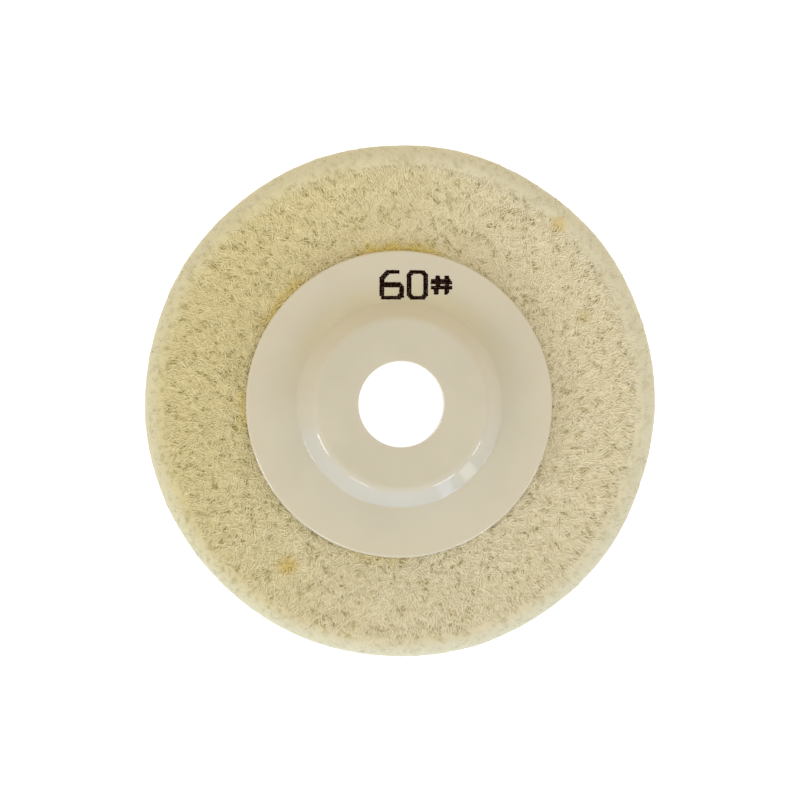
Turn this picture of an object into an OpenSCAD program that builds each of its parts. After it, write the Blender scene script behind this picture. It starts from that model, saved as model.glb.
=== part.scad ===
// Fibre polishing wheel: a laminated non-woven web glued to a dished plastic backing plate.
// Z = 0 is the working face, and +Z points along the axis towards the grinder.

/* [Fibre web] */
// Outer diameter of the wheel
wheel_d = 100; // [75:1:180]
// Thickness of each of the three plies that are bonded into the web
ply_t = 4; // [3.2:0.1:8]
// Diameter of the opening through the web, which gives the locking nut room
opening_d = 38; // [24:0.5:50]
// Radius of the worn edge round the working face
front_edge_r = 1; // [0.2:0.1:3]
// Radius of the soft edge round the back face
back_edge_r = 3; // [0.5:0.1:3.1]

/* [Backing plate] */
// Outer diameter of the backing plate
plate_d = 59; // [49:0.5:72]
// Wall thickness of the backing plate
plate_t = 2.2; // [1.5:0.1:3]
// Radius of the edge round the top of the rim
rim_edge_r = 0.5; // [0.1:0.1:0.7]
// Diameter of the arbor bore
bore_d = 16.4; // [10:0.1:22.3]

/* [Hub] */
// Diameter of the hub's flat seat, measured where its slope begins
hub_top_d = 32.8; // [27:0.1:39.4]
// Height of the hub's seat above the flange
hub_rise = 3; // [2:0.1:5]
// Distance that the hub's slope takes outwards from seat to flange
hub_run = 3.4; // [2:0.1:5]
// Radius of the edge round the hub's seat
shoulder_r = 2; // [0.2:0.1:2.5]
// Radius of the hollow where the slope meets the flange
foot_r = 0.5; // [0.2:0.1:1]

/* [Adhesive] */
// Thickness of the adhesive ring between the web and the plate
film_t = 0.3; // [0.1:0.05:0.6]
// How far the adhesive stops short of the plate's rim
film_inset = 0.5; // [0.2:0.1:2]
// How far the adhesive stops short of the opening
film_gap = 0.5; // [0.2:0.1:2]

/* [Grit figures] */
// Height of the figures as a share of the flange's flat width
mark_share = 0.63; // [0.3:0.01:0.8]
// Width of the six as a share of its height
six_share = 0.83; // [0.6:0.01:1]
// Width of the zero as a share of its height
zero_share = 0.73; // [0.6:0.01:1]
// Width of the hash sign as a share of the figures' height
hash_share = 0.74; // [0.6:0.01:1]
// Height of the hash sign as a share of the figures' height
hash_rise = 0.66; // [0.5:0.01:1]
// Width of an ink stroke
stroke_w = 0.8; // [0.3:0.05:0.9]
// Thickness of the ink on the flange
ink_t = 0.05; // [0.02:0.01:0.1]
// Clear space between the hub's foot and the figures
mark_gap = 0.05; // [0.02:0.01:0.5]
// Clear space between one figure and the next
figure_gap = 0.5; // [0.1:0.05:1]
// How far the middle of the mark stands to the right of the axis
mark_shift = 3; // [-5:0.5:5]

/* [Hidden] */
$fn = 180;
// Number of straight steps in each rounded corner of an outline
bend_steps = 10;

// Heights up the axis
web_top = 3 * ply_t;
film_top = web_top + film_t;
flange_top = film_top + plate_t;
hub_top = flange_top + hub_rise;

// The hub's slope, on the outside and on the underside one wall thickness in
slope = atan2(hub_rise, hub_run);
top_r = hub_top_d / 2;
base_r = top_r + hub_run;
wall_shift = plate_t * tan(slope / 2);
under_top_r = top_r - wall_shift;
under_base_r = base_r - wall_shift;

// The adhesive lies where the web's face and the flange's flat underside meet
film_in_r = max(opening_d / 2, under_base_r) + film_gap;
film_out_r = plate_d / 2 - film_inset;

// The figures stand on the flange's flat, just outside the hub's foot
flat_in_r = base_r + foot_r * tan(slope / 2);
flat_out_r = plate_d / 2 - rim_edge_r;
figure_h = mark_share * (flat_out_r - flat_in_r);
six_w = six_share * figure_h;
zero_w = zero_share * figure_h;
hash_w = hash_share * figure_h;
hash_h = hash_rise * figure_h;
mark_w = six_w + zero_w + hash_w + 2 * figure_gap;
mark_foot = flat_in_r + mark_gap;

// Paths of the strokes, from 0 at a figure's lower left to 1 at its upper right
SIX = [
    [0.75, 1], [0.35, 1], [0, 0.72], [0, 0.12], [0.12, 0],
    [0.88, 0], [1, 0.1], [1, 0.38], [0.86, 0.5], [0, 0.5]
];
ZERO = [
    [0.2, 1], [0.8, 1], [1, 0.84], [1, 0.14], [0.8, 0],
    [0.2, 0], [0, 0.14], [0, 0.84], [0.2, 1]
];
HASH = [
    [[0, 0.34], [1, 0.34]], [[0, 0.7], [1, 0.7]],
    [[0.22, 0], [0.3, 1]], [[0.76, 0], [0.8, 1]]
];

// Points of the arc that rounds a corner where two straight lines meet. The outline
// arrives along one line and leaves along the other; seen from the corner, the first
// lies at angle arrive and the second at angle leave.
function bend(corner, arrive, leave, bend_r) =
    let (
        middle = (arrive + leave) / 2,
        half = abs(leave - arrive) / 2,
        swing = sign(leave - arrive) * (90 - half),
        centre = corner + bend_r / sin(half) * [cos(middle), sin(middle)]
    )
    [
        for (i = [0 : bend_steps])
            let (angle = middle + 180 + swing * (1 - 2 * i / bend_steps))
            centre + bend_r * [cos(angle), sin(angle)]
    ];

// One straight stroke of ink with round ends
module stroke(a, b) {
    run = b - a;
    translate(a)
        rotate(atan2(run.y, run.x))
            translate([0, -stroke_w / 2]) square([norm(run), stroke_w]);
    for (end = [a, b]) translate(end) circle(d = stroke_w, $fn = 32);
}

// A path of strokes, scaled to fill a box of the given width and height
module strokes(path, w, h) {
    span = [w - stroke_w, h - stroke_w];
    points = [for (p = path) [stroke_w / 2 + p.x * span.x, stroke_w / 2 + p.y * span.y]];
    for (i = [1 : len(points) - 1]) stroke(points[i - 1], points[i]);
}

module backing_plate() {
    outline = concat(
        [[bore_d / 2, hub_top - plate_t], [bore_d / 2, hub_top]],
        bend([top_r, hub_top], 180, 360 - slope, shoulder_r),
        bend([base_r, flange_top], 180 - slope, 0, foot_r),
        bend([plate_d / 2, flange_top], 180, 270, rim_edge_r),
        [[plate_d / 2, film_top], [under_base_r, film_top], [under_top_r, hub_top - plate_t]]
    );
    color("#cfc4ac") rotate_extrude() polygon(outline);
}

module adhesive_ring() {
    color("#c2a764")
        rotate_extrude()
            translate([film_in_r, web_top]) square([film_out_r - film_in_r, film_t]);
}

module web_ply_back() {
    outline = concat(
        [[opening_d / 2, web_top], [opening_d / 2, web_top - ply_t], [wheel_d / 2, web_top - ply_t]],
        bend([wheel_d / 2, web_top], 270, 180, back_edge_r)
    );
    color("#cfc092") rotate_extrude() polygon(outline);
}

module web_ply_middle() {
    color("#cbbb8c")
        rotate_extrude()
            translate([opening_d / 2, ply_t]) square([(wheel_d - opening_d) / 2, ply_t]);
}

module web_ply_front() {
    outline = concat(
        [[wheel_d / 2, ply_t], [opening_d / 2, ply_t], [opening_d / 2, 0]],
        bend([wheel_d / 2, 0], 180, 90, front_edge_r)
    );
    color("#cfc092") rotate_extrude() polygon(outline);
}

module grit_mark() {
    color("#22110a")
        translate([mark_shift - mark_w / 2, mark_foot, flange_top])
            linear_extrude(ink_t)
                union() {
                    strokes(SIX, six_w, figure_h);
                    translate([six_w + figure_gap, 0]) strokes(ZERO, zero_w, figure_h);
                    translate([mark_w - hash_w, (figure_h - hash_h) / 2])
                        for (line = HASH) strokes(line, hash_w, hash_h);
                }
}

backing_plate();
adhesive_ring();
web_ply_back();
web_ply_middle();
web_ply_front();
grit_mark();
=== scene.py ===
import math
import random

import bpy
import numpy as np
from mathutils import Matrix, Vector


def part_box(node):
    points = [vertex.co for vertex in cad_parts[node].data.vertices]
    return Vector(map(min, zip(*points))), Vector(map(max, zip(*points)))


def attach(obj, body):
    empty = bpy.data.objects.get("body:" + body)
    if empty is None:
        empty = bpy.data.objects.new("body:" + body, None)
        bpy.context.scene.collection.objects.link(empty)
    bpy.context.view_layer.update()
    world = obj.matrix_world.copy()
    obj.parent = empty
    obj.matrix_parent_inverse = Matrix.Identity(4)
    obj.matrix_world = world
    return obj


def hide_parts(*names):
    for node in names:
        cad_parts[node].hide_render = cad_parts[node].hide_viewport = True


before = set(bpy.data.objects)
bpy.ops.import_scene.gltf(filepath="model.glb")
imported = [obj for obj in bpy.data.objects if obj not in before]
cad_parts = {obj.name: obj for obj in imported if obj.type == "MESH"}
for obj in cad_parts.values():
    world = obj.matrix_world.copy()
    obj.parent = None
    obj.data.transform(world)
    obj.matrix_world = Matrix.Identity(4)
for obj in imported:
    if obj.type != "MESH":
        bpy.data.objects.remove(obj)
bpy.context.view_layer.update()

MM = 0.001
PER_MM2 = 1e6
NEAR = 0.1 * MM  # how near a radius or a height counts as being on it
BODY = "root"
PLIES = ("web_ply_back", "web_ply_middle", "web_ply_front")


# ---------------------------------------------------------------- measures of the wheel

def radii_of(node):
    """Inner and outer radius of a round CAD node."""
    reach = [math.hypot(v.co.x, v.co.y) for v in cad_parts[node].data.vertices]
    return min(reach), max(reach)


def heights_of(node):
    """Lowest and highest point of a CAD node."""
    low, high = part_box(node)
    return low[2], high[2]


RIM_R = radii_of("backing_plate")[1]
OPENING_R, WEB_R = radii_of("web_ply_middle")
WEB_FOOT = heights_of("web_ply_front")[0]
WEB_TOP = heights_of("web_ply_back")[1]
TUCKED_R = RIM_R - 0.8 * MM  # the free fibres run in under the plate's rim as far as this


# ---------------------------------------------------------------- node building

class Nodes:
    """Adds nodes to a tree. A socket given as an input is linked, and anything else is its value."""

    def __init__(self, tree):
        self.tree = tree

    def add(self, kind, inputs=(), **settings):
        node = self.tree.nodes.new(kind)
        for name, value in settings.items():
            setattr(node, name, value)
        for name, value in dict(inputs).items():
            self.feed(node.inputs[name], value)
        return node

    def feed(self, socket, value):
        if isinstance(value, bpy.types.NodeSocket):
            self.tree.links.new(value, socket)
        else:
            socket.default_value = value

    def math(self, operation, a, b=0.0, clamp=False):
        return self.add("ShaderNodeMath", {0: a, 1: b}, operation=operation, use_clamp=clamp).outputs[0]

    def vector(self, operation, a, b=(0, 0, 0)):
        node = self.add("ShaderNodeVectorMath", {0: a, 1: b}, operation=operation)
        return node.outputs["Value" if operation in ("LENGTH", "DOT_PRODUCT", "DISTANCE") else "Vector"]

    def scaled(self, vector, factor):
        node = self.add("ShaderNodeVectorMath", {"Vector": vector, "Scale": factor}, operation="SCALE")
        return node.outputs["Vector"]

    def combine(self, x, y, z):
        return self.add("ShaderNodeCombineXYZ", {0: x, 1: y, 2: z}).outputs[0]

    def span(self, value, low, high, start=0.0, end=1.0):
        """Carries value smoothly from start to end as it goes from low to high."""
        inputs = {"Value": value, "From Min": low, "From Max": high, "To Min": start, "To Max": end}
        return self.add("ShaderNodeMapRange", inputs, interpolation_type="SMOOTHSTEP").outputs[0]

    def noise(self, vector, scale, detail=2.0, roughness=0.5, w=None, colour=False):
        inputs = {"Vector": vector, "Scale": scale, "Detail": detail, "Roughness": roughness}
        if w is not None:
            inputs["W"] = w
        node = self.add("ShaderNodeTexNoise", inputs, noise_dimensions="3D" if w is None else "4D")
        return node.outputs["Color" if colour else "Fac"]

    def group(self, tree, inputs):
        """Places a node group and gives its outputs."""
        kind = {"GeometryNodeTree": "GeometryNodeGroup", "ShaderNodeTree": "ShaderNodeGroup"}[tree.bl_idname]
        node = self.add(kind, node_tree=tree)
        for name, value in inputs.items():
            self.feed(node.inputs[name], value)
        return node.outputs

    def kept(self, geometry, name, value, kind="FLOAT"):
        """Stores a value on a geometry's points under a name."""
        inputs = {"Geometry": geometry, "Name": name, "Value": value}
        return self.add("GeometryNodeStoreNamedAttribute", inputs, data_type=kind, domain="POINT").outputs[0]

    def recalled(self, name, kind="FLOAT"):
        """Reads back a value stored under a name."""
        return self.add("GeometryNodeInputNamedAttribute", {"Name": name}, data_type=kind).outputs[0]

    def blend(self, amount, a, b, mode="MIX"):
        """Mixes two colours."""
        node = self.add("ShaderNodeMix", data_type="RGBA", blend_type=mode)
        for socket, value in zip((node.inputs[0], node.inputs[6], node.inputs[7]), (amount, a, b)):
            self.feed(socket, value)
        return node.outputs[2]


def new_group(kind, name, inputs, outputs):
    """A node group, what adds its nodes, and its own inputs and outputs by name."""
    tree = bpy.data.node_groups.new(name, kind)
    for socket, form, value in inputs:
        item = tree.interface.new_socket(socket, in_out="INPUT", socket_type="NodeSocket" + form)
        if value is not None:
            item.default_value = value
    for socket, form in outputs:
        tree.interface.new_socket(socket, in_out="OUTPUT", socket_type="NodeSocket" + form)
    nodes = Nodes(tree)
    given = nodes.add("NodeGroupInput").outputs
    return tree, nodes, given, nodes.add("NodeGroupOutput").inputs


def new_material(name, **surface):
    """A Principled material; surface holds the sockets that are the same all over."""
    material = bpy.data.materials.new(name)
    material.use_nodes = True
    nodes = Nodes(material.node_tree)
    shader = material.node_tree.nodes["Principled BSDF"]
    for socket, value in surface.items():
        shader.inputs[socket.replace("_", " ")].default_value = value
    return material, nodes, shader


def grown(name, tree, blank, **values):
    """The plain mesh that a geometry tree makes out of the blank object, which it uses up.

    values are the tree's inputs by name, in lower case and with _ for a space.
    """
    modifier = blank.modifiers.new(tree.name, "NODES")
    modifier.node_group = tree
    for item in tree.interface.items_tree:
        key = item.name.replace(" ", "_").lower()
        if item.in_out == "INPUT" and key in values:
            modifier[item.identifier] = values[key]
    depsgraph = bpy.context.evaluated_depsgraph_get()
    mesh = bpy.data.meshes.new_from_object(blank.evaluated_get(depsgraph), depsgraph=depsgraph)
    bare = blank.data
    bpy.data.objects.remove(blank)
    bpy.data.meshes.remove(bare)
    mesh.name = name
    return stand(name, mesh)


def stand(name, mesh):
    """Puts a mesh into the scene as an object at the origin."""
    piece = bpy.data.objects.new(name, mesh)
    bpy.context.collection.objects.link(piece)
    return piece


# ---------------------------------------------------------------- turned shapes

def arc(centre_r, centre_z, radius, start, end, steps):
    """Outline points of an arc, from one angle to another in degrees."""
    angles = [math.radians(start + (end - start) * i / steps) for i in range(steps + 1)]
    return [(centre_r + radius * math.cos(a), centre_z + radius * math.sin(a)) for a in angles]


def run(start, end, pitch):
    """Outline points from start up to, and not including, end, about a pitch apart."""
    steps = max(1, round(math.dist(start, end) / pitch))
    return [(start[0] + (end[0] - start[0]) * i / steps, start[1] + (end[1] - start[1]) * i / steps)
            for i in range(steps)]


def turned(name, outline, steps, closed, wander, marks):
    """Turns an outline of (radius, height) points round the axis.

    The outline runs up the inside, outwards over the top and down the outside, so that the
    faces look outwards. wander gives how far a point strays in x and y from its radius and
    angle. marks are (attribute, kind, function of radius, height and angle).
    """
    outline = np.array(outline)
    turn = np.arange(steps) * (2 * math.pi / steps)
    r = np.repeat(outline[:, 0][:, None], steps, axis=1)
    z = np.repeat(outline[:, 1][:, None], steps, axis=1)
    angle = np.repeat(turn[None, :], len(outline), axis=0)
    push_x, push_y = wander(r, angle)
    points = np.stack([r * np.cos(angle) + push_x, r * np.sin(angle) + push_y, z], axis=-1).reshape(-1, 3)
    rows = len(outline) if closed else len(outline) - 1
    i, j = np.meshgrid(np.arange(rows), np.arange(steps), indexing="ij")
    below, after = (i + 1) % len(outline), (j + 1) % steps
    corners = [i * steps + j, below * steps + j, below * steps + after, i * steps + after]
    faces = np.stack(corners, axis=-1).reshape(-1, 4)
    mesh = bpy.data.meshes.new(name)
    mesh.from_pydata(points.tolist(), [], faces.tolist())
    for attribute, kind, value in marks:
        data = np.asarray(value(r, z, angle), dtype=float).reshape(len(points), -1)
        store = mesh.attributes.new(attribute, kind, "POINT")
        store.data.foreach_set("vector" if kind == "FLOAT_VECTOR" else "value", data.ravel())
    mesh.shade_smooth()
    return stand(name, mesh)


# ---------------------------------------------------------------- the web's outline

SHOULDER = 3.2 * MM  # radius of the rounded edge round the back
HEEL = 1.2 * MM  # radius of the edge round the working face
SET_OFF = (1.03 * MM, 0.63 * MM)  # how far the web is glued on off the plate's centre
RIM_WAVES = 9  # how many waves make up the rim's unevenness, and their mean size
RIM_WAVE = 0.04 * MM
FINE = 0.28 * MM  # spacing of a ply's points where its fibres are free
COARSE = 2 * MM  # and where it is covered
WALL_PITCH = 0.5 * MM  # and on the wall of the opening
SHOULDER_STEPS = 18  # steps over a ply's rounded edges
HEEL_STEPS = 7
edge_draw = random.Random(11)
WAVES = [(k, RIM_WAVE * edge_draw.uniform(0.4, 1.4), edge_draw.uniform(0, 2 * math.pi))
         for k in range(2, 2 + RIM_WAVES)]


def web_wander(r, angle):
    """How the web strays outside the plate: it is glued on a little off centre, with an uneven rim."""
    outward = np.clip((r - RIM_R) / (WEB_R - RIM_R), 0, 1)
    wave = sum(size * np.cos(k * angle + phase) for k, size, phase in WAVES)
    return (outward * (SET_OFF[0] + wave * np.cos(angle)), outward * (SET_OFF[1] + wave * np.sin(angle)))


def ply_outline(node, back_edge, front_edge, free_from):
    """Closed outline of one ply, fine where its fibres are free and coarse where it is covered."""
    foot, top = heights_of(node)
    inside = run((OPENING_R, foot), (OPENING_R, top), WALL_PITCH)
    covered = run((OPENING_R, top), (free_from, top), COARSE)
    over = run((free_from, top), (WEB_R - back_edge, top), FINE)
    outside = run((WEB_R, top - back_edge), (WEB_R, foot + front_edge), FINE)
    under = run((WEB_R - front_edge, foot), (OPENING_R, foot), 1.5 * (FINE if front_edge else COARSE))
    shoulder = arc(WEB_R - back_edge, top - back_edge, back_edge, 90, 0, SHOULDER_STEPS)[:-1]
    heel = arc(WEB_R - front_edge, foot + front_edge, front_edge, 0, -90, HEEL_STEPS)[:-1]
    return (inside + covered + over + (shoulder if back_edge else []) + outside
            + (heel if front_edge else []) + under)


def relief_group():
    """Pores and soft lumps of the felt at a place, shared by its surface and the fibres on it."""
    tree, n, given, out = new_group("GeometryNodeTree", "Felt relief", [
        ("Place", "Vector", None), ("Pore scale", "Float", 0.0)], [("Pore", "Float"), ("Lump", "Float")])
    n.feed(out["Pore"], n.span(n.noise(given["Place"], given["Pore scale"], 2.5, 0.6), 0.5, 0.68))
    broad = n.noise(given["Place"], n.math("MULTIPLY", given["Pore scale"], 0.3), 2.0)
    n.feed(out["Lump"], n.math("SUBTRACT", broad, 0.5))
    return tree


def felted_tree(relief):
    """A ply's surface: sunk under the fibres that lie on it, lumpy, pitted, and pinched at its seams."""
    tree, n, given, out = new_group("GeometryNodeTree", "Felted ply", [
        ("Ply", "Geometry", None), ("Sink", "Float", 0.0), ("Lump", "Float", 0.0),
        ("Pit", "Float", 0.0), ("Pore scale", "Float", 0.0), ("Groove", "Float", 0.0),
        ("Material", "Material", None)], [("Ply", "Geometry")])
    free = n.recalled("free")
    seam = n.recalled("seam")
    place = n.add("GeometryNodeInputPosition").outputs[0]
    normal = n.add("GeometryNodeInputNormal").outputs[0]
    felt = n.group(relief, {"Place": place, "Pore scale": given["Pore scale"]})
    drop = n.math("ADD", given["Sink"], n.math("MULTIPLY", felt["Pore"], given["Pit"]))
    rise = n.math("SUBTRACT", n.math("MULTIPLY", felt["Lump"], given["Lump"]), drop)
    shift = n.math("SUBTRACT", n.math("MULTIPLY", rise, free), n.math("MULTIPLY", seam, given["Groove"]))
    ply = n.kept(given["Ply"], "pore", felt["Pore"])
    moved = n.add("GeometryNodeSetPosition", {"Geometry": ply, "Offset": n.scaled(normal, shift)})
    whole = n.add("GeometryNodeRealizeInstances", {"Geometry": moved.outputs[0]})
    dressed = n.add("GeometryNodeSetMaterial", {"Geometry": whole.outputs[0], "Material": given["Material"]})
    n.feed(out["Ply"], dressed.outputs[0])
    return tree


def strands_tree(relief):
    """Short curly fibres laid over a bed: each strays from its grain and follows the felt's relief."""
    tree, n, given, out = new_group("GeometryNodeTree", "Laid strands", [
        ("Bed", "Geometry", None), ("Density", "Float", 0.0), ("Length", "Float", 0.0),
        ("Width", "Float", 0.0), ("Curl", "Float", 0.0), ("Arch", "Float", 0.0),
        ("Depth", "Float", 0.0), ("Proud", "Float", 0.0), ("Lump", "Float", 0.0), ("Pit", "Float", 0.0),
        ("Pore scale", "Float", 0.0), ("Joints", "Int", 4), ("Seed", "Int", 0),
        ("Material", "Material", None)], [("Strands", "Geometry")])

    def drawn(low, high, salt):
        seed = n.math("ADD", given["Seed"], float(salt))
        node = n.add("FunctionNodeRandomValue", {2: low, 3: high, 8: seed}, data_type="FLOAT")
        return node.outputs[1]

    laid = n.add("GeometryNodeDistributePointsOnFaces",
                 {"Mesh": given["Bed"], "Density": given["Density"], "Seed": given["Seed"]})
    up = laid.outputs["Normal"]
    points = n.kept(laid.outputs["Points"], "up", up, "FLOAT_VECTOR")
    points = n.kept(points, "tone", drawn(0.33, 0.67, 1))
    points = n.kept(points, "sway", drawn(0.0, 500.0, 2))
    points = n.kept(points, "level", drawn(0.0, 1.0, 3))

    grain = n.recalled("grain", "FLOAT_VECTOR")
    upright = n.scaled(up, n.vector("DOT_PRODUCT", grain, up))
    grain = n.vector("NORMALIZE", n.vector("SUBTRACT", grain, upright))
    astray = n.math("MULTIPLY", drawn(-1.0, 1.0, 4), n.recalled("stray"))
    along = n.vector("ADD", n.scaled(grain, n.math("COSINE", astray)),
                     n.scaled(n.vector("CROSS_PRODUCT", up, grain), n.math("SINE", astray)))
    turn = n.add("FunctionNodeAlignRotationToVector", {"Vector": along}, axis="X")
    turn = n.add("FunctionNodeAlignRotationToVector",
                 {"Rotation": turn.outputs[0], "Vector": up}, axis="Z", pivot_axis="X")

    straight = n.add("GeometryNodeCurvePrimitiveLine", {"Start": (-0.5, 0, 0), "End": (0.5, 0, 0)})
    straight = n.add("GeometryNodeResampleCurve", {"Curve": straight.outputs[0], "Count": given["Joints"]})
    length = n.math("MULTIPLY", given["Length"], drawn(0.55, 1.5, 5))
    strands = n.add("GeometryNodeInstanceOnPoints", {
        "Points": points, "Instance": straight.outputs[0], "Rotation": turn.outputs[0],
        "Scale": n.combine(length, 1.0, 1.0)})
    strands = n.add("GeometryNodeRealizeInstances", {"Geometry": strands.outputs[0]}).outputs[0]

    factor = n.add("GeometryNodeSplineParameter").outputs["Factor"]
    bell = n.math("SINE", n.math("MULTIPLY", factor, math.pi))
    place = n.add("GeometryNodeInputPosition").outputs[0]
    swirl = n.noise(place, 620.0, 1.0, w=n.recalled("sway"), colour=True)
    swirl = n.vector("SUBTRACT", swirl, (0.5, 0.5, 0.5))
    felt = n.group(relief, {"Place": place, "Pore scale": given["Pore scale"]})
    lift = n.math("ADD", n.math("MULTIPLY", bell, given["Arch"]), given["Proud"])
    lift = n.math("SUBTRACT", lift, n.math("MULTIPLY", n.recalled("level"), given["Depth"]))
    lift = n.math("ADD", lift, n.math("MULTIPLY", felt["Lump"], given["Lump"]))
    lift = n.math("SUBTRACT", lift, n.math("MULTIPLY", felt["Pore"], given["Pit"]))
    up = n.recalled("up", "FLOAT_VECTOR")
    offset = n.vector("ADD", n.scaled(swirl, given["Curl"]), n.scaled(up, lift))
    strands = n.kept(strands, "pore", felt["Pore"])
    bent = n.add("GeometryNodeSetPosition", {"Geometry": strands, "Offset": offset}).outputs[0]
    bent = n.add("GeometryNodeSetCurveNormal", {"Curve": bent, "Normal": up}, mode="FREE").outputs[0]

    section = n.add("GeometryNodeCurvePrimitiveQuadrilateral", {
        "Point 1": (-0.12, -0.5, 0), "Point 2": (0.12, -0.3, 0),
        "Point 3": (0.12, 0.3, 0), "Point 4": (-0.12, 0.5, 0)}, mode="POINTS").outputs[0]
    swell = n.math("ADD", 0.55, n.math("MULTIPLY", n.math("POWER", bell, 0.5), 0.45))
    girth = n.math("MULTIPLY", n.math("MULTIPLY", given["Width"], swell), drawn(0.65, 1.35, 6))
    tubes = n.add("GeometryNodeCurveToMesh", {
        "Curve": bent, "Profile Curve": section, "Scale": girth, "Fill Caps": True}).outputs[0]
    smooth = n.add("GeometryNodeSetShadeSmooth", {"Geometry": tubes}).outputs[0]
    whole = n.add("GeometryNodeRealizeInstances", {"Geometry": smooth}).outputs[0]
    dressed = n.add("GeometryNodeSetMaterial", {"Geometry": whole, "Material": given["Material"]})
    n.feed(out["Strands"], dressed.outputs[0])
    return tree


def dots_tree():
    """Ink dots of a printer's raster, kept where they fall on the figures."""
    tree, n, given, out = new_group("GeometryNodeTree", "Ink dots", [
        ("Raster", "Geometry", None), ("Figures", "Object", None), ("Reach", "Float", 0.0),
        ("Dot", "Float", 0.0), ("Thick", "Float", 0.0), ("Stray", "Float", 0.0), ("Seed", "Int", 0),
        ("Material", "Material", None)], [("Dots", "Geometry")])
    figures = n.add("GeometryNodeObjectInfo", {"Object": given["Figures"]}, transform_space="ORIGINAL")
    near = n.add("GeometryNodeProximity", {0: figures.outputs["Geometry"]}, target_element="FACES")
    inked = n.math("LESS_THAN", near.outputs["Distance"], given["Reach"])
    points = n.add("GeometryNodeMeshToPoints", {"Mesh": given["Raster"], "Selection": inked}).outputs[0]
    drift = n.add("FunctionNodeRandomValue", {0: (-1, -1, 0), 1: (1, 1, 0), 8: given["Seed"]},
                  data_type="FLOAT_VECTOR").outputs[0]
    points = n.add("GeometryNodeSetPosition", {"Geometry": points, "Offset": n.scaled(drift, given["Stray"])})
    drop = n.add("GeometryNodeMeshUVSphere", {"Segments": 10, "Rings": 4, "Radius": 0.5}).outputs["Mesh"]
    drop = n.add("GeometryNodeSetShadeSmooth", {"Geometry": drop}).outputs[0]
    fuller = n.add("FunctionNodeRandomValue", {2: 0.86, 3: 1.12, 8: n.math("ADD", given["Seed"], 1.0)},
                   data_type="FLOAT").outputs[1]
    across = n.math("MULTIPLY", given["Dot"], fuller)
    dots = n.add("GeometryNodeInstanceOnPoints", {
        "Points": points.outputs[0], "Instance": drop, "Scale": n.combine(across, across, given["Thick"])})
    whole = n.add("GeometryNodeRealizeInstances", {"Geometry": dots.outputs[0]})
    dressed = n.add("GeometryNodeSetMaterial", {"Geometry": whole.outputs[0], "Material": given["Material"]})
    n.feed(out["Dots"], dressed.outputs[0])
    return tree


# ---------------------------------------------------------------- finishes

def paint(code):
    """A colour for a shader from its #rrggbb code."""
    parts = [int(code[i:i + 2], 16) / 255 for i in (1, 3, 5)]
    return tuple(c / 12.92 if c <= 0.04045 else ((c + 0.055) / 1.055) ** 2.4 for c in parts) + (1.0,)


def plan_position(n):
    """Object coordinates, the distance from the axis, and the direction outwards from it."""
    place = n.add("ShaderNodeTexCoord").outputs["Object"]
    flat = n.vector("MULTIPLY", place, (1, 1, 0))
    return place, n.vector("LENGTH", flat), n.vector("NORMALIZE", flat)


def towards(n, outward, bearing, spread):
    """Mask of what lies within spread degrees of a bearing, seen from the axis."""
    aim = (math.cos(math.radians(bearing)), math.sin(math.radians(bearing)), 0)
    edge, core = math.cos(math.radians(spread)), math.cos(math.radians(spread * 0.4))
    return n.span(n.vector("DOT_PRODUCT", outward, aim), edge, core)


def ring(n, r, rise, fall):
    """Mask of a ring round the axis, which comes up between two radii and goes down between two more."""
    return n.math("MULTIPLY", n.span(r, *rise), n.span(r, *fall, 1, 0))


AGED_SIDE = (-0.95, 0.3, 0)  # direction in plan, as is the next
# Painted shade: the fibre is darkened towards this side, where less light falls
SHADED_SIDE = (-0.57, -0.82, 0)
# Painted reflection: the side of the hub's foot tinted warm, as if mirroring the warm light behind the wheel
WARM_REFLECTION_SIDE = (95, 100)  # bearing and spread in degrees, on the plate
PORE_ON_STRANDS = 0.36  # how much of a pore's olive, partly painted shade, shows on the fibres that cross it
# Bearing and spread in degrees, and strength
GLUE_SOAKED = ((90, 20, 1.0), (138, 15, 0.7), (182, 9, 0.5), (262, 14, 0.35))
# Place and size in millimetres, and strength
YELLOW_SPOTS = ((31.2, 35.1, 2.0, 0.75), (-21.5, -31.1, 2.6, 1.1), (36.2, 16.9, 1.5, 0.4))


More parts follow.
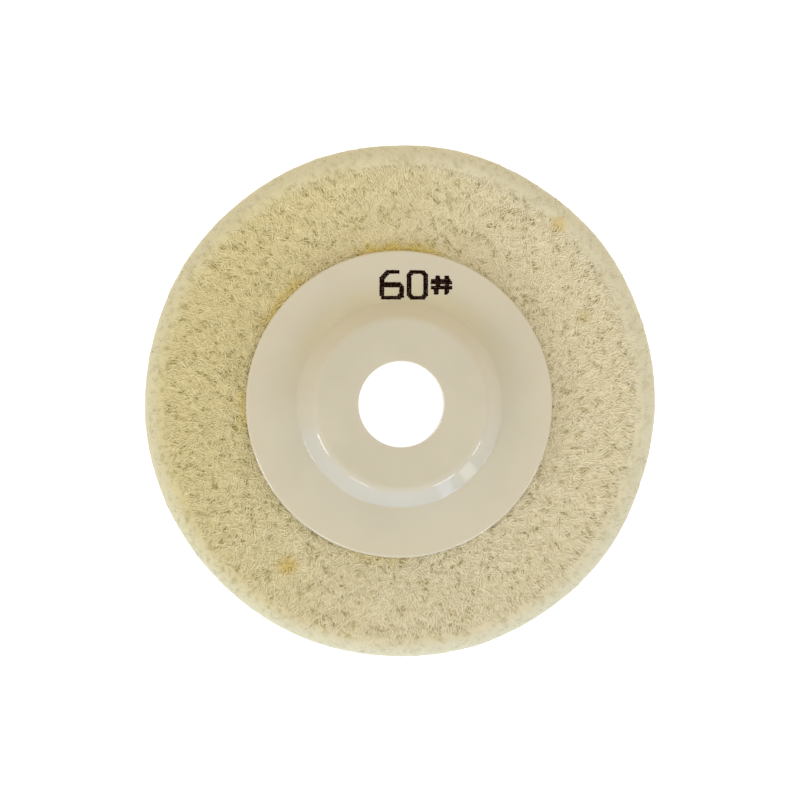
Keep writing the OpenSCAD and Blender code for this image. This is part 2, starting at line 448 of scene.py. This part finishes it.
def fibre_tint_group():
    """Colour of resin-bonded fibre: cream, olive in the pores and darkened there as painted shade, greyer on
    the back shoulder as painted light, stained by glue.
    """
    tree, n, given, out = new_group("ShaderNodeTree", "Fibre tint", [
        ("Tone", "Float", 0.5), ("Pore", "Float", 0.0)], [("Color", "Color")])
    place, r, outward = plan_position(n)
    # Broad clouds and a finer mottle, both about nothing, so that the mean tone stays
    cloud = n.math("MULTIPLY", n.math("SUBTRACT", n.noise(place, 180.0, 3.0, 0.6), 0.5), 0.9)
    mottle = n.math("MULTIPLY", n.math("SUBTRACT", n.noise(place, 750.0, 2.0), 0.5), 1.3)
    tone = n.math("ADD", given["Tone"], n.math("ADD", cloud, mottle), clamp=True)
    colour = n.blend(tone, paint("#d1c4a0"), paint("#e3d7b6"))
    # Olive of the resin-rich felt in the pits, partly painted shade where the pits lie in shadow
    colour = n.blend(given["Pore"], colour, paint("#ab9e68"))

    aged = n.span(n.vector("DOT_PRODUCT", place, AGED_SIDE), -20 * MM, 45 * MM)
    colour = n.blend(aged, colour, paint("#fbf8df"), "MULTIPLY")
    # Painted shade: a neutral darkening towards one side of the wheel
    painted_shade = n.span(n.vector("DOT_PRODUCT", place, SHADED_SIDE), -40 * MM, 40 * MM)
    colour = n.blend(painted_shade, colour, paint("#f6f6f4"), "MULTIPLY")
    height = n.add("ShaderNodeSeparateXYZ", {0: place}).outputs["Z"]
    # Painted light: a greyer, washed-out tone on the rounded back shoulder, where the edge catches the light
    combed = n.math("MULTIPLY", n.span(r, WEB_R - 6 * MM, WEB_R - MM, 0.0, 0.7),
                    n.span(height, WEB_TOP - 5 * MM, WEB_TOP - 2 * MM, 0.6, 1.0))
    colour = n.blend(combed, colour, paint("#c6bfa5"))

    patch = n.noise(place, 420.0, 2.0)
    soaked = 0.0
    for bearing, spread, strength in GLUE_SOAKED:
        here = n.math("MULTIPLY", towards(n, outward, bearing, spread), strength)
        soaked = n.math("MAXIMUM", soaked, here)
    ragged = n.math("ADD", r, n.math("MULTIPLY", patch, -3 * MM))
    near = n.span(ragged, RIM_R - 1.6 * MM, RIM_R + 1.4 * MM, 1, 0)
    near = n.math("MULTIPLY", near, n.span(height, WEB_TOP - 2.5 * MM, WEB_TOP - MM))
    colour = n.blend(n.math("MULTIPLY", soaked, near), colour, paint("#d8c16e"))
    for x, y, size, strength in YELLOW_SPOTS:
        away = n.vector("DISTANCE", n.vector("MULTIPLY", place, (1, 1, 0)), (x * MM, y * MM, 0))
        spot = n.span(n.math("ADD", away, n.math("MULTIPLY", patch, -MM)), -0.2 * MM, size * MM, strength, 0)
        colour = n.blend(n.math("MULTIPLY", spot, 0.85), colour, paint("#c9b068"))
    n.feed(out["Color"], colour)
    return tree


def ply_material(tint):
    """The felt between the loose fibres: matt, with a fine nap."""
    material, n, shader = new_material("ply_fibre", Specular_IOR_Level=0.3)
    pore = n.add("ShaderNodeAttribute", attribute_name="pore").outputs["Fac"]
    nap = n.noise(n.add("ShaderNodeTexCoord").outputs["Object"], 2600.0, 3.0, 0.7)
    bump = n.add("ShaderNodeBump", {"Height": nap, "Strength": 0.4, "Distance": 0.1 * MM})
    # The pore mask darkens the felt to olive in its pits: the felt's own olive, partly painted shade
    n.feed(shader.inputs["Base Color"], n.group(tint, {"Tone": 0.3, "Pore": pore})["Color"])
    n.feed(shader.inputs["Normal"], bump.outputs[0])
    n.feed(shader.inputs["Roughness"], n.span(nap, 0.3, 0.7, 0.8, 0.95))
    return material


def strand_material(tint):
    """One nylon fibre in its skin of resin."""
    material, n, shader = new_material(
        "strand_fibre", Roughness=0.78, Specular_IOR_Level=0.16, Sheen_Weight=0.15, Sheen_Roughness=0.6)
    tone = n.add("ShaderNodeAttribute", attribute_name="tone").outputs["Fac"]
    pore = n.add("ShaderNodeAttribute", attribute_name="pore").outputs["Fac"]
    # Fibres over a pit take some of its olive, partly painted shade
    pore = n.math("MULTIPLY", pore, PORE_ON_STRANDS)
    n.feed(shader.inputs["Base Color"], n.group(tint, {"Tone": tone, "Pore": pore})["Color"])
    return material


def plate_material():
    """Natural ivory plastic, glossy and a little translucent, with a painted warm reflection on one side of
    the hub's foot.
    """
    material, n, shader = new_material(
        "moulded_ivory", IOR=1.5, Subsurface_Weight=0.2, Subsurface_Scale=0.001)
    shader.inputs["Subsurface Radius"].default_value = (1.6, 1.2, 0.7)
    place, r, outward = plan_position(n)
    cloud = n.noise(place, 60.0, 3.0, 0.55)
    colour = n.blend(n.span(cloud, 0.3, 0.7), paint("#bfb6a0"), paint("#c5bca6"))
    slope = ring(n, r, (15 * MM, 17.5 * MM), (19 * MM, 21 * MM))
    colour = n.blend(n.math("MULTIPLY", slope, 0.5), colour, paint("#c6bba4"))
    # Painted light: the flange is made paler towards its rim, away from the hub's shade
    flange = n.span(r, 23 * MM, 28 * MM, 0.0, 0.5)
    colour = n.blend(flange, colour, paint("#c8bda4"))
    # Painted reflection: a warm tint round the hub's foot on the back side, standing in for the warm light
    # that the gloss mirrors
    foot = ring(n, r, (19.2 * MM, 20.2 * MM), (20.2 * MM, 26.5 * MM))
    warm_reflection = n.math("MULTIPLY", foot, towards(n, outward, *WARM_REFLECTION_SIDE))
    colour = n.blend(warm_reflection, colour, paint("#fefbeb"), "MULTIPLY")
    n.feed(shader.inputs["Base Color"], colour)
    ripple = n.noise(place, 260.0, 1.0)
    sheen = n.noise(place, 1500.0, 2.0)
    bump = n.add("ShaderNodeBump", {"Height": ripple, "Strength": 0.12, "Distance": 0.2 * MM})
    n.feed(shader.inputs["Normal"], bump.outputs[0])
    n.feed(shader.inputs["Roughness"], n.span(sheen, 0.3, 0.7, 0.07, 0.12))
    return material


def ink_material():
    """Thin dark printing ink, a little uneven."""
    material, n, shader = new_material("printed_ink", Specular_IOR_Level=0.02)
    place = n.add("ShaderNodeTexCoord").outputs["Object"]
    uneven = n.noise(place, 1900.0, 2.0)
    n.feed(shader.inputs["Base Color"], n.blend(uneven, paint("#100301"), paint("#210a04")))
    n.feed(shader.inputs["Roughness"], n.span(uneven, 0.3, 0.7, 0.55, 0.75))
    return material


def adhesive_material():
    """Set amber adhesive with a dull skin."""
    material, n, shader = new_material("set_adhesive", IOR=1.5)
    place = n.add("ShaderNodeTexCoord").outputs["Object"]
    skin = n.noise(place, 500.0, 3.0, 0.6)
    n.feed(shader.inputs["Base Color"], n.blend(skin, paint("#a8904a"), paint("#cbbb86")))
    bump = n.add("ShaderNodeBump", {"Height": skin, "Strength": 0.6, "Distance": 0.3 * MM})
    n.feed(shader.inputs["Normal"], bump.outputs[0])
    n.feed(shader.inputs["Roughness"], n.span(skin, 0.3, 0.7, 0.35, 0.6))
    return material


FIBRE_TINT = fibre_tint_group()
PLY_FIBRE = ply_material(FIBRE_TINT)
STRAND_FIBRE = strand_material(FIBRE_TINT)


# ---------------------------------------------------------------- the web's plies

RELIEF = relief_group()
FELTED = felted_tree(RELIEF)
LAID_STRANDS = strands_tree(RELIEF)
PORE_SCALE = 790.0  # the noise scale that gives pores of the right size
LUMP = 0.34 * MM  # how far the felt's broad lumps rise and fall
PLY_STEPS = 720  # steps round a ply, and round a bed of fibres
BED_STEPS = 180
SEAM_REACH = 0.7 * MM  # a cut wall is pinched this far to each side of a seam
BONDED_R = WEB_R - 0.5 * MM  # inside this the plies lie on each other
SHOULDER_RELIEF = 0.35  # share of the relief that is left where the shoulder is pressed smooth
CROSSING_R = 33 * MM  # inside this the fibres cross every way
COMBED_R = WEB_R - 3 * MM  # outside this they are combed


def on_cut_wall(r):
    """Whether a radius lies on the rim or on the wall of the opening."""
    return (r < OPENING_R + NEAR) | (r > WEB_R - NEAR)


def make_ply(node, back_edge, front_edge, free_from):
    """One felted ply, dimpled where its fibres are free and pinched where it is bonded."""
    foot, top = heights_of(node)
    seams = [level for level in (foot, top) if WEB_FOOT < level < WEB_TOP]

    def free(r, z, angle):
        inner = (r > OPENING_R + NEAR) & (r < WEB_R - NEAR)
        bonded = inner & np.isin(np.round(z, 7), np.round(seams, 7))
        covered = inner & (z > WEB_TOP - NEAR) & (r < TUCKED_R)
        rounded = (z > WEB_TOP - SHOULDER + NEAR) & (r > WEB_R - SHOULDER - MM)
        return np.where(bonded | covered, 0.0, np.where(rounded, SHOULDER_RELIEF, 1.0))

    def seam(r, z, angle):
        depth = np.zeros_like(z)
        for level in seams:
            depth = np.maximum(depth, np.clip(1 - np.abs(z - level) / SEAM_REACH, 0, 1))
        return depth * on_cut_wall(r)

    outline = ply_outline(node, back_edge, front_edge, free_from)
    marks = [("free", "FLOAT", free), ("seam", "FLOAT", seam)]
    blank = turned(node + "_blank", outline, PLY_STEPS, True, web_wander, marks)
    ply = grown(node + "_felt", FELTED, blank, sink=0.15 * MM, lump=LUMP, pit=0.25 * MM,
                pore_scale=PORE_SCALE, groove=0.14 * MM, material=PLY_FIBRE)
    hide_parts(node)
    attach(ply, BODY)


def fibre_grain(r, z, angle):
    """Outwards on the faces and over the edges, but round the wheel on its cut walls."""
    wall = on_cut_wall(r)
    x = np.where(wall, -np.sin(angle), np.cos(angle))
    y = np.where(wall, np.cos(angle), np.sin(angle))
    return np.stack([x, y, np.zeros_like(x)], axis=-1)


def fibre_stray(r, z, angle):
    """Fibres cross every way near the plate and lie combed towards the rim; in radians."""
    combed = np.clip((r - CROSSING_R) / (COMBED_R - CROSSING_R), 0, 1)
    return 1.5 - 0.85 * combed


def make_strands(name, bed_outline, **laying):
    """Fibres laid over a turned bed. Its outline is open and runs as a ply's does."""
    marks = [("grain", "FLOAT_VECTOR", fibre_grain), ("stray", "FLOAT", fibre_stray)]
    bed = turned(name + "_bed", bed_outline, BED_STEPS, False, web_wander, marks)
    strands = grown(name, LAID_STRANDS, bed, lump=LUMP, pore_scale=PORE_SCALE, material=STRAND_FIBRE,
                    **laying)
    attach(strands, BODY)


def fibre_beds():
    """Outlines of the surfaces where fibres show: the two faces, each ply's rim and the opening."""
    (back_foot, back_top), (middle_foot, middle_top), (front_foot, front_top) = map(heights_of, PLIES)
    gap, pitch = 0.15 * MM, MM
    turn_r = WEB_R - SHOULDER - 0.4 * MM
    return {
        "back_face": run((RIM_R - 0.5 * MM, back_top), (turn_r, back_top), pitch) + [(turn_r, back_top)],
        "back_rim": arc(WEB_R - SHOULDER, back_top - SHOULDER, SHOULDER, 90, 0, steps=8)
        + [(WEB_R, back_foot + gap)],
        "middle_rim": run((WEB_R, middle_top - gap), (WEB_R, middle_foot + gap), pitch)
        + [(WEB_R, middle_foot + gap)],
        "front_rim": [(WEB_R, front_top - gap)]
        + arc(WEB_R - HEEL, front_foot + HEEL, HEEL, 0, -90, steps=5),
        "front_face": run((WEB_R - HEEL, front_foot), (OPENING_R, front_foot), pitch)
        + [(OPENING_R, front_foot)],
        "opening": run((OPENING_R, front_foot + gap), (OPENING_R, back_top - gap), pitch),
    }


def in_mm(**sizes):
    """The sizes of a way of laying fibres, given in millimetres."""
    return {name: size * MM for name, size in sizes.items()}


LOOSE = in_mm(length=1.2, width=0.27, curl=0.34, arch=0.03, depth=0.15, proud=-0.03, pit=0.22)
CUT_OFF = in_mm(length=1.2, width=0.26, curl=0.35, arch=0.04, depth=0.2, proud=-0.02, pit=0.12)
PRESSED = in_mm(length=1.4, width=0.28, curl=0.18, arch=0.02, depth=0.09, proud=-0.07, pit=0.07)
# Name and bed of the fibres, layers, fibres to the square millimetre in a layer, first seed, and lie
FIBRES = (
    ("web_back_fibres", "back_face", 4, 1.35, 21, LOOSE),
    ("web_front_fibres", "front_face", 3, 0.8, 31, LOOSE),
    ("web_back_rim_fibres", "back_rim", 1, 2.1, 41, PRESSED),
    ("web_middle_rim_fibres", "middle_rim", 1, 3.0, 42, CUT_OFF),
    ("web_front_rim_fibres", "front_rim", 1, 2.8, 43, CUT_OFF),
    ("web_opening_fibres", "opening", 1, 2.6, 44, CUT_OFF),
)

make_ply("web_ply_back", SHOULDER, 0, TUCKED_R)
make_ply("web_ply_middle", 0, 0, BONDED_R)
make_ply("web_ply_front", 0, HEEL, BONDED_R)
BEDS = fibre_beds()
for fibres, bed, layers, per_mm2, first_seed, lie in FIBRES:
    for layer in range(layers):
        name = f"{fibres}_{layer + 1}" if layers > 1 else fibres
        make_strands(name, BEDS[bed], density=per_mm2 * PER_MM2, seed=first_seed + layer, **lie)


# ---------------------------------------------------------------- plate, adhesive and print

def finish_node(node, material):
    """Gives a CAD node's own mesh a better material."""
    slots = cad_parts[node].data.materials
    slots.clear()
    slots.append(material)


def print_figures(pitch_x, pitch_y, margin):
    """The grit figures, printed on the flange as rows of ink dots that start a margin inside them."""
    low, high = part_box("grit_mark")
    across, up = high[0] - low[0] - 2 * margin, high[1] - low[1] - 2 * margin
    columns, rows = round(across / pitch_x), round(up / pitch_y)
    middle = (low[2] + high[2]) / 2
    raster = [(low[0] + margin + across * i / columns, low[1] + margin + up * j / rows, middle)
              for j in range(rows + 1) for i in range(columns + 1)]
    mesh = bpy.data.meshes.new("print_raster")
    mesh.from_pydata(raster, [], [])
    figures = grown("printed_figures", dots_tree(), stand("print_raster", mesh),
                    figures=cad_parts["grit_mark"], reach=0.04 * MM, dot=0.41 * MM, thick=0.05 * MM,
                    stray=0.02 * MM, seed=61, material=ink_material())
    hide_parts("grit_mark")
    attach(figures, BODY)


finish_node("backing_plate", plate_material())
finish_node("adhesive_ring", adhesive_material())
print_figures(pitch_x=0.29 * MM, pitch_y=0.33 * MM, margin=0.2 * MM)


# ---------------------------------------------------------------- studio

def make_floor():
    """Plain pale table, which glows a little so that it stays white under the wheel."""
    bpy.ops.mesh.primitive_plane_add(size=6, location=(0, 0, -0.02 * MM))
    floor = bpy.context.object
    floor.name = "table"
    material, n, shader = new_material("pale_table", Roughness=0.9, Emission_Strength=0.93)
    shader.inputs["Base Color"].default_value = (0.3, 0.3, 0.3, 1)
    shader.inputs["Emission Color"].default_value = (1, 1, 1, 1)
    floor.data.materials.append(material)


def make_window(name, bearing, spread, low, high, power, colour=(0.9, 0.96, 1.0)):
    """A window that faces the wheel; its bearing, spread, low edge and high edge are in degrees."""
    away = 0.62
    foot, head = (away * math.tan(math.radians(rise)) for rise in (low, high))
    light = bpy.data.lights.new(name, "AREA")
    light.shape = "RECTANGLE"
    light.size = 2 * away * math.tan(math.radians(spread / 2))
    light.size_y = head - foot
    light.energy = power * light.size * light.size_y
    light.color = colour
    lamp = bpy.data.objects.new(name, light)
    bpy.context.collection.objects.link(lamp)
    turn = math.radians(bearing)
    lamp.location = (away * math.cos(turn), away * math.sin(turn), WEB_TOP + (foot + head) / 2)
    lamp.rotation_euler = (math.radians(90), 0, turn + math.radians(90))


def make_sky():
    """Even white light from overhead, with coloured light low down for the gloss to mirror.

    Low down it is warm behind the wheel and a dim blue in front of it, with a bright blue band
    near the horizon there. Under the horizon it is neutral, and the camera sees plain white.
    """
    world = bpy.data.worlds.new("studio")
    bpy.context.scene.world = world
    world.use_nodes = True
    n = Nodes(world.node_tree)
    look = n.add("ShaderNodeTexCoord").outputs["Generated"]
    split = n.add("ShaderNodeSeparateXYZ", {0: look}).outputs
    back, rise = split["Y"], split["Z"]
    low = n.blend(n.span(back, 0.75, -0.75), (0.98, 0.82, 0.43, 1), (0.42, 0.48, 0.76, 1))
    band = n.math("MULTIPLY", n.span(back, -0.22, -0.36), n.span(rise, 0.22, 0.15))
    low = n.blend(band, low, (0.4, 0.98, 1.75, 1))
    under = n.span(rise, -0.02, -0.1)
    low = n.blend(under, low, (0.8, 0.8, 0.78, 1))
    overhead = n.span(rise, 0.1, 0.7)
    colour = n.blend(overhead, low, (1.05, 1.035, 1.0, 1))
    seen = n.add("ShaderNodeLightPath").outputs["Is Camera Ray"]
    colour = n.blend(seen, colour, (1.05, 1.05, 1.05, 1))
    background = world.node_tree.nodes["Background"]
    background.inputs["Strength"].default_value = 1.0
    n.feed(background.inputs["Color"], colour)


def make_camera():
    """Looks almost straight down on the back of the wheel."""
    camera = bpy.data.cameras.new("camera")
    camera.lens = 68.9
    camera.sensor_width = 36
    away, lean = 0.3, math.radians(4.5)
    middle = Vector((0.45 * MM, 0.8 * MM, 8 * MM))
    eye = bpy.data.objects.new("camera", camera)
    eye.location = middle + away * Vector((-math.sin(lean), 0, math.cos(lean)))
    eye.rotation_euler = (0, -lean, 0)
    bpy.context.collection.objects.link(eye)
    bpy.context.scene.camera = eye


# Name, bearing, spread, low edge, high edge, power to the square metre, and a colour if not daylight
WINDOWS = (
    ("window_right", -28, 10, 12, 26, 21),
    ("window_low_right", -57, 15, 12, 26, 19),
    ("window_low_left", -114, 15, 12, 24, 22),
    ("window_left", -151, 16, 12, 26, 36),
    ("pane_right", -42, 9, -1, 10, 7, (1.0, 0.92, 0.65)),
    ("pane_low_right", -58, 8, -1, 8, 6, (0.6, 0.65, 1.0)),
)

make_floor()
make_sky()
for window in WINDOWS:
    make_window(*window)
make_camera()
bpy.context.scene.view_settings.view_transform = "Standard"
